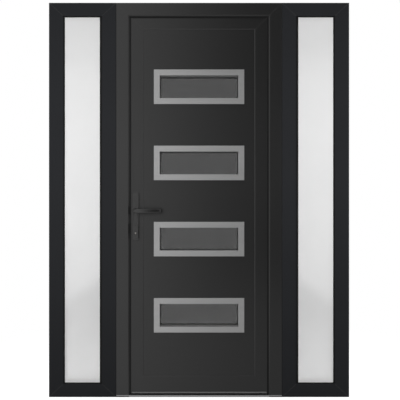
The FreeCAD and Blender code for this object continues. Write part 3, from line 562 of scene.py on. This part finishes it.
def join_loops(mesh_maker, first, second):
    """A band of faces between two rows of as many points."""
    for i, vert in enumerate(first):
        after = (i + 1) % len(first)
        mesh_maker.faces.new((vert, first[after], second[after], second[i]))


def round_outline(radius, count=24):
    """Points of a circle."""
    turn = 2 * math.pi / count
    return [(radius * math.cos(turn * i), radius * math.sin(turn * i)) for i in range(count)]


def cross_outline(reach, half):
    """Corners of an upright cross."""
    return [
        (half, half), (half, reach), (-half, reach), (-half, half), (-reach, half), (-reach, -half),
        (-half, -half), (-half, -reach), (half, -reach), (half, -half), (reach, -half), (reach, half),
    ]


def key_outline(half, reach):
    """A keyway with one ward at its side."""
    ward = half * 0.5
    return [
        (half, -reach), (half, -reach * 0.2), (ward, 0), (ward, reach * 0.3), (half, reach * 0.45),
        (half, reach), (-half, reach), (-half, -reach),
    ]


def add_head(mesh_maker, place, outward, radius, height, recess, depth):
    """A round head with a softened rim and a recess of that outline in its face."""
    where = facing(place, outward)
    soft = min(0.0004, height / 2)
    foot = add_loop(mesh_maker, where, round_outline(radius), 0)
    shoulder = add_loop(mesh_maker, where, round_outline(radius), height - soft)
    rim = add_loop(mesh_maker, where, round_outline(radius - soft), height)
    join_loops(mesh_maker, foot, shoulder)
    join_loops(mesh_maker, shoulder, rim)
    edge = add_loop(mesh_maker, where, recess, height)
    floor = add_loop(mesh_maker, where, [(a * 0.85, b * 0.85) for a, b in recess], height - depth)
    join_loops(mesh_maker, edge, floor)
    mesh_maker.faces.new(floor)
    border = []
    for row in (rim, edge):
        for i, vert in enumerate(row):
            after = row[(i + 1) % len(row)]
            border.append(mesh_maker.edges.get((vert, after)) or mesh_maker.edges.new((vert, after)))
    bmesh.ops.triangle_fill(mesh_maker, use_beauty=True, edges=border)


def add_screw(mesh_maker, place, outward, radius=0.0036):
    """Raised countersunk screw with a cross recess."""
    recess = cross_outline(radius * 0.6, radius * 0.15)
    add_head(mesh_maker, place, outward, radius, 0.0011, recess, 0.0008)


def add_ring(mesh_maker, place, outward, section):
    """A ring turned from a section of (radius, height) points."""
    where = facing(place, outward)
    rows = [add_loop(mesh_maker, where, round_outline(radius, 40), height) for radius, height in section]
    for i, row in enumerate(rows):
        join_loops(mesh_maker, row, rows[(i + 1) % len(rows)])


def add_bar(mesh_maker, section, foot, top):
    """An upright bar from a plan section of (x, y) points."""
    low = [mesh_maker.verts.new((x, y, foot)) for x, y in section]
    high = [mesh_maker.verts.new((x, y, top)) for x, y in section]
    join_loops(mesh_maker, low, high)
    mesh_maker.faces.new(low)
    mesh_maker.faces.new(high)


def add_ribbon(mesh_maker, path, lift, width):
    """A thin flat line laid on a surface that faces along lift."""
    lift = Vector(lift)
    rows = []
    for i, spot in enumerate(path):
        ahead = Vector(path[min(i + 1, len(path) - 1)]) - Vector(path[max(i - 1, 0)])
        across = ahead.cross(lift).normalized() * width / 2
        spot = Vector(spot)
        corners = (spot - across, spot - across * 0.7 + lift, spot + across * 0.7 + lift, spot + across)
        rows.append([mesh_maker.verts.new(corner) for corner in corners])
    for first, second in zip(rows, rows[1:]):
        for k in range(3):
            mesh_maker.faces.new((first[k], first[k + 1], second[k + 1], second[k]))


def make_mitre_lines():
    """Lighter hairlines along the mitres of the fixed frames and of the leaf, on both faces."""
    fixed = bmesh.new()
    moving = bmesh.new()
    door_left, door_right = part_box("door_head")[0][0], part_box("door_head")[1][0]
    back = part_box("door_head")[1][1]
    for corner, step in ((door_left, 1), (door_right, -1)):
        spots = [
            (corner + step * line, FRONT_Y + depth, UNIT_TOP - line) for line, depth in FRAME_OUTSIDE
        ]
        add_ribbon(fixed, spots, (0, -LINE_LIFT, 0), LINE_WIDTH)
        spots = [(corner + step * line, back, UNIT_TOP - line) for line in FRAME_INSIDE]
        add_ribbon(fixed, spots, (0, LINE_LIFT, 0), LINE_WIDTH)
    for name in ("left", "right"):
        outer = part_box(f"{name}_sidelight_outer_stile")
        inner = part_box(f"{name}_sidelight_inner_stile")
        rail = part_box(f"{name}_sidelight_bottom_rail")
        face = outer[1][0] - outer[0][0]
        rise = rail[1][2]
        left = min(outer[0][0], inner[0][0])
        right = max(outer[1][0], inner[1][0])
        sides = ((FRONT_Y, -LINE_LIFT, SIDELIGHT_OUTSIDE), (back, LINE_LIFT, SIDELIGHT_INSIDE))
        for corner, step in ((left, 1), (right, -1)):
            for foot, up in ((0.0, 1), (UNIT_TOP, -1)):
                for y, away, shares in sides:
                    spots = [
                        (corner + step * face * part, y, foot + up * rise * part) for part in shares
                    ]
                    add_ribbon(fixed, spots, (0, away, 0), LINE_WIDTH)
    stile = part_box("leaf_lock_stile")
    top_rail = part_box("leaf_top_rail")
    bottom_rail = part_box("leaf_bottom_rail")
    front, rear = stile[0][1], stile[1][1]
    lip_x, lip_top, lip_foot = -stile[1][0], top_rail[0][2], bottom_rail[1][2]
    edge_x, edge_top, edge_foot = -bottom_rail[0][0], top_rail[1][2], bottom_rail[0][2]
    flange_x = -top_rail[0][0]
    for side in (-1, 1):
        ends = (
            ((edge_x, edge_foot), (lip_x, lip_foot), LEAF_FOOT_OUTSIDE),
            ((flange_x, edge_top), (lip_x, lip_top), LEAF_TOP_OUTSIDE),
        )
        for (x0, z0), (x1, z1), outside in ends:
            for y, away, shares in ((front, -LINE_LIFT, outside), (rear, LINE_LIFT, LEAF_INSIDE)):
                spots = [
                    (side * (x0 + (x1 - x0) * part), y, z0 + (z1 - z0) * part) for part in shares
                ]
                add_ribbon(moving, spots, (0, away, 0), LINE_WIDTH)
    new_piece("frame_mitre_lines", fixed, "packer", "frame")
    new_piece("leaf_mitre_lines", moving, "packer", "leaf")


def make_joint_seals():
    """Black sealant in the grooves between the door frame and the sidelights."""
    seals = bmesh.new()
    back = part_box("door_head")[1][1]
    for corner, step in ((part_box("door_head")[0][0], -1), (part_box("door_head")[1][0], 1)):
        for y, inward in ((FRONT_Y, 1), (back, -1)):
            plan = [(corner + step * across, y + inward * depth) for across, depth in SEAL_SECTION]
            add_bar(seals, plan, SEAL_FOOT, UNIT_TOP - SEAL_TOP)
    new_piece("joint_seals", seals, "rubber", "frame")


def make_glass_lips():
    """Soft black lips of the outer gaskets, on the side of the glass towards the wall."""
    lips = bmesh.new()
    for name, step in (("left", 1), ("right", -1)):
        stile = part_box(f"{name}_sidelight_outer_stile")
        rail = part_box(f"{name}_sidelight_bottom_rail")
        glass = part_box(f"{name}_sidelight_panes")[0][1]
        edge = stile[0][0] if step > 0 else stile[1][0]
        start = edge + step * (STILE_FACE + GASKET_LINE)
        plan = [(start + step * across, glass - out) for across, out in LIP_SECTION]
        foot = rail[1][2]
        add_bar(lips, plan, foot, UNIT_TOP - foot)
    new_piece("glass_lips", lips, "rubber", "frame")


def make_key_details():
    """The keyway outside in its collar, and the keyway inside."""
    low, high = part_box("key_cylinder")
    key_x = middle("key_cylinder", 0)
    key_z = high[2] - CYLINDER_RADIUS
    height = low[1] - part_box("outside_handle_plate")[0][1] - 0.0008
    keys = bmesh.new()
    collar = bmesh.new()
    recess = key_outline(0.0008, 0.003)
    add_head(keys, (key_x, low[1], key_z), (0, -1, 0), 0.0041, height, recess, 0.003)
    section = [
        (0.0042, 0), (0.0042, height - 0.0002), (0.0047, height + 0.0003), (0.0053, height),
        (0.0053, 0),
    ]
    add_ring(collar, (key_x, low[1], key_z), (0, -1, 0), section)
    new_piece("key_collar", collar, "handle_metal", "leaf")
    recess = key_outline(0.0011, 0.0042)
    add_head(keys, (key_x, high[1], key_z), (0, 1, 0), 0.0062, 0.0009, recess, 0.0008)
    new_piece("keyways", keys, "nickel", "leaf")


def make_plate_details():
    """Bearing rings round the hubs of the levers, and the screws of the inside plate."""
    low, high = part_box("inside_handle_plate")
    plate_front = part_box("outside_handle_plate")[0][1] + GUARD_DEPTH
    handle_x = middle("key_cylinder", 0)
    spindle_z = middle("handle_spindle", 2)
    rings = bmesh.new()
    add_ring(rings, (handle_x, plate_front, spindle_z), (0, -1, 0), RING_SECTION)
    add_ring(rings, (handle_x, high[1], spindle_z), (0, 1, 0), RING_SECTION)
    new_piece("bearing_rings", rings, "rubber", "leaf")
    screws = bmesh.new()
    for z in (low[2] + PLATE_SCREW, high[2] - PLATE_SCREW):
        add_screw(screws, (handle_x, high[1], z), (0, 1, 0), 0.0042)
    new_piece("plate_screws", screws, "hinge_metal", "leaf")


def make_lock_details():
    """Screws and bolt ends in the faceplate, and the screws of the strikes."""
    lock_y = middle("lock_faceplate", 1)
    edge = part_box("lock_faceplate")[0][0]
    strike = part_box("strike_plates")[1][0]
    centre = middle("inside_handle_plate", 2)
    points = [centre + LOCK_SPACING * step for step in (-1, 0, 1)]
    plan = [(edge + inward, lock_y + across) for inward, across in BOLT_SECTION]
    heads = bmesh.new()
    bolts = bmesh.new()
    for point in points:
        for offset in FACEPLATE_SCREWS:
            add_screw(heads, (edge, lock_y, point + offset), (-1, 0, 0))
        for offset in BOLTS:
            add_bar(bolts, plan, point + offset - BOLT_HALF, point + offset + BOLT_HALF)
    new_piece("faceplate_screws", heads, "steel", "leaf")
    new_piece("bolt_ends", bolts, "steel", "leaf")
    heads = bmesh.new()
    for point in points:
        for offset in STRIKE_SCREWS:
            add_screw(heads, (strike, lock_y, point + offset), (1, 0, 0))
    new_piece("strike_screws", heads, "steel", "frame")


def make_gap_shade_blocks():
    """Black blocks in the gap at the heights of the latch and of the bolt, where the seal meets the
    jamb: painted shade that darkens the gap there.
    """
    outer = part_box("door_head")[0][0]
    shade_blocks = bmesh.new()
    plan = [(outer + across, FRONT_Y + depth) for across, depth in GAP_SHADE_SECTION]
    for foot, top in GAP_SHADE_HEIGHTS:
        add_bar(shade_blocks, plan, foot, top)
    new_piece("gap_shade_blocks", shade_blocks, "rubber", "frame")


def smooth_points(points, steps):
    """Rows of numbers on a smooth curve through the given rows."""
    rows = []
    last = len(points) - 1
    for i in range(last):
        before, start = points[max(i - 1, 0)], points[i]
        end, after = points[i + 1], points[min(i + 2, last)]
        for k in range(steps):
            t = k / steps
            rows.append([
                0.5 * (
                    2 * b + (c - a) * t + (2 * a - 5 * b + 4 * c - d) * t * t
                    + (3 * b - a - 3 * c + d) * t ** 3
                )
                for a, b, c, d in zip(before, start, end, after)
            ])
    rows.append(list(points[last]))
    return rows


def make_lever(name, handle_x, plate_y, outward, spindle_z):
    """A lever with a round neck that bends into a flat, slightly falling grip."""
    lever = bmesh.new()
    rows = smooth_points(LEVER, LEVER_STEPS)
    loops = []
    for i, (along, out, half_height, half_depth, power) in enumerate(rows):
        ahead, behind = rows[min(i + 1, len(rows) - 1)], rows[max(i - 1, 0)]
        tangent = Vector((ahead[0] - behind[0], ahead[1] - behind[1])).normalized()
        loop = []
        for k in range(LEVER_SIDES):
            turn = 2 * math.pi * k / LEVER_SIDES
            flat = math.copysign(abs(math.cos(turn)) ** (2 / power), math.cos(turn)) * half_depth
            rise = math.copysign(abs(math.sin(turn)) ** (2 / power), math.sin(turn)) * half_height
            x = handle_x + along - tangent.y * flat
            y = plate_y + outward * (out + tangent.x * flat)
            loop.append(lever.verts.new((x, y, spindle_z + rise)))
        loops.append(loop)
    for first, second in zip(loops, loops[1:]):
        join_loops(lever, first, second)
    lever.faces.new(loops[0])
    lever.faces.new(loops[-1])
    piece = new_piece(f"{name}_grip", lever, "handle_metal", "handle")
    for polygon in piece.data.polygons:
        polygon.use_smooth = len(polygon.vertices) == 4
    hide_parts(name)


def make_levers():
    """The outside and the inside lever."""
    handle_x = middle("handle_spindle", 0)
    spindle_z = middle("handle_spindle", 2)
    outside_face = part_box("outside_handle_plate")[0][1] + GUARD_DEPTH
    inside_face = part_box("inside_handle_plate")[1][1]
    make_lever("outside_lever", handle_x, outside_face, -1, spindle_z)
    make_lever("inside_lever", handle_x, inside_face, 1, spindle_z)


def make_hinge_details():
    """Screws of the hinge plates, and the slotted ends of the pins."""
    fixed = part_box("frame_hinge_brackets")
    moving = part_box("leaf_hinge_brackets")
    axis_x = middle("hinge_pins", 0)
    axis_y = middle("hinge_pins", 1)
    low = moving[0][2] + KNUCKLE_HALF
    high = moving[1][2] - KNUCKLE_HALF
    plate_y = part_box("door_head")[1][1] + HINGE_PLATE
    plate_x = (axis_x + BARREL_RADIUS + fixed[1][0]) / 2
    slope = Vector((-ARM_FALL, ARM_RUN, 0)).normalized()
    arm_x = moving[0][0] + ARM_SCREW
    arm_y = moving[0][1] + HINGE_PLATE + ARM_FALL * ARM_SCREW / ARM_RUN
    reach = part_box("hinge_pins")[1][2] - high
    on_frame = bmesh.new()
    on_leaf = bmesh.new()
    on_pins = bmesh.new()
    for z in (low, (low + high) / 2, high):
        for offset in HINGE_SCREWS:
            add_screw(on_frame, (plate_x, plate_y, z + offset), (0, 1, 0))
        for offset in ARM_SCREWS:
            add_screw(on_leaf, (arm_x, arm_y, z + offset), slope)
        for way in (-1, 1):
            place = (axis_x, axis_y, z + way * reach)
            add_head(on_pins, place, (0, 0, way), PIN_RADIUS, 0.0008, PIN_SLOT, 0.0006)
    new_piece("frame_hinge_screws", on_frame, "steel", "frame")
    new_piece("leaf_hinge_screws", on_leaf, "steel", "leaf")
    new_piece("pin_ends", on_pins, "hinge_metal", "frame")


def shown(shader):
    """1 for rays from the camera, off a gloss or through glass, and 0 for all others."""
    path = shader.add("ShaderNodeLightPath")
    seen = shader.math("MAXIMUM", path.outputs["Is Camera Ray"], path.outputs["Is Glossy Ray"])
    return shader.math("MAXIMUM", seen, path.outputs["Is Transmission Ray"])


def make_floor():
    """A pale floor round the object that fades into the white of the world.

    It glows nearly white to the camera, and still takes the object's shadow.
    """
    size = FLOOR_SIZE
    mesh = bpy.data.meshes.new("floor")
    corners = [(-size, -size, 0), (size, -size, 0), (size, size, 0), (-size, size, 0)]
    mesh.from_pydata(corners, [], [(0, 1, 2, 3)])
    floor = bpy.data.objects.new("floor", mesh)
    bpy.context.scene.collection.objects.link(floor)
    shader = Shader("floor")
    diffuse = shader.add("ShaderNodeBsdfDiffuse")
    diffuse.inputs["Color"].default_value = (*grey(FLOOR_TONE), 1)
    glow = shader.add("ShaderNodeEmission")
    shader.join(shader.math("MULTIPLY", shown(shader), FLOOR_GLOW), glow.inputs["Strength"])
    both = shader.add("ShaderNodeAddShader")
    shader.join(diffuse.outputs[0], both.inputs[0])
    shader.join(glow.outputs[0], both.inputs[1])
    place = shader.add("ShaderNodeTexCoord").outputs["Object"]
    away = shader.add("ShaderNodeVectorMath", operation="LENGTH")
    shader.join(place, away.inputs[0])
    fade = shader.add("ShaderNodeMapRange")
    fade.inputs["From Min"].default_value = FLOOR_FADE[0]
    fade.inputs["From Max"].default_value = FLOOR_FADE[1]
    shader.join(away.outputs["Value"], fade.inputs["Value"])
    clear = shader.add("ShaderNodeBsdfTransparent")
    mix = shader.add("ShaderNodeMixShader")
    shader.join(fade.outputs["Result"], mix.inputs[0])
    shader.join(both.outputs[0], mix.inputs[1])
    shader.join(clear.outputs[0], mix.inputs[2])
    shader.join(mix.outputs[0], shader.out.inputs["Surface"])
    mesh.materials.append(shader.material)


def make_card(name, corners, left_level, right_level):
    """A studio card, seen only in the object's gloss, with its level at either side."""
    mesh = bpy.data.meshes.new(name)
    mesh.from_pydata(corners, [], [(0, 1, 2, 3)])
    card = bpy.data.objects.new(name, mesh)
    bpy.context.scene.collection.objects.link(card)
    shader = Shader(name)
    across = shader.place()[0]
    glow = shader.add("ShaderNodeEmission")
    shader.join(shader.slide(across, *CARD_FADE, left_level, right_level), glow.inputs["Strength"])
    shader.join(glow.outputs[0], shader.out.inputs["Surface"])
    mesh.materials.append(shader.material)
    card.visible_camera = False
    card.visible_diffuse = False
    card.visible_transmission = False
    card.visible_shadow = False


def make_cards():
    """One card stands in front of the object, one lies on the floor and one stands at its left."""
    foot = [(CARD_LEFT, CARD_Y, CARD_LOW), (CARD_RIGHT, CARD_Y, CARD_LOW)]
    upright = foot + [(CARD_RIGHT, CARD_Y, CARD_TOP), (CARD_LEFT, CARD_Y, CARD_TOP)]
    make_card("upright_card", upright, 1.0, 0.06)
    flat = foot + [(CARD_RIGHT, CARD_NEAR, CARD_LOW), (CARD_LEFT, CARD_NEAR, CARD_LOW)]
    make_card("floor_card", flat, 0.96, 0.42)
    front, back = SIDE_CARD_DEPTHS
    side = [(SIDE_CARD_X, front, CARD_LOW), (SIDE_CARD_X, back, CARD_LOW)]
    side += [(SIDE_CARD_X, back, CARD_TOP), (SIDE_CARD_X, front, CARD_TOP)]
    make_card("side_card", side, 0.7, 0.7)


def make_world(level):
    """White behind the object, and even soft light of that level on it."""
    world = bpy.data.worlds.new("studio")
    bpy.context.scene.world = world
    world.use_nodes = True
    tree = world.node_tree
    tree.nodes.clear()
    path = tree.nodes.new("ShaderNodeLightPath")
    seen = tree.nodes.new("ShaderNodeMath")
    seen.operation = "MAXIMUM"
    through = tree.nodes.new("ShaderNodeMath")
    through.operation = "MAXIMUM"
    pick = tree.nodes.new("ShaderNodeMix")
    pick.inputs["A"].default_value = level
    pick.inputs["B"].default_value = 1.0
    background = tree.nodes.new("ShaderNodeBackground")
    out = tree.nodes.new("ShaderNodeOutputWorld")
    background.inputs["Color"].default_value = (*WHITE, 1)
    tree.links.new(path.outputs["Is Camera Ray"], seen.inputs[0])
    tree.links.new(path.outputs["Is Glossy Ray"], seen.inputs[1])
    tree.links.new(seen.outputs[0], through.inputs[0])
    tree.links.new(path.outputs["Is Transmission Ray"], through.inputs[1])
    tree.links.new(through.outputs[0], pick.inputs["Factor"])
    tree.links.new(pick.outputs["Result"], background.inputs["Strength"])
    tree.links.new(background.outputs[0], out.inputs["Surface"])


def area_light(name, place, aim, width, height, power):
    """A soft box at a place, aimed at a point."""
    data = bpy.data.lights.new(name, "AREA")
    data.shape = "RECTANGLE"
    data.size = width
    data.size_y = height
    data.energy = power
    light = bpy.data.objects.new(name, data)
    light.location = place
    direction = Vector(aim) - Vector(place)
    light.rotation_euler = direction.to_track_quat("-Z", "Y").to_euler()
    light.visible_camera = False
    light.visible_glossy = False
    light.visible_transmission = False
    bpy.context.scene.collection.objects.link(light)


make_camera()
make_world(WORLD_LEVEL)
make_floor()
make_cards()
for light in LIGHTS:
    area_light(*light)
dress_nodes()
make_mitre_lines()
make_joint_seals()
make_glass_lips()
make_key_details()
make_plate_details()
make_lock_details()
make_gap_shade_blocks()
make_levers()
make_hinge_details()

bpy.context.scene.view_settings.view_transform = "Standard"
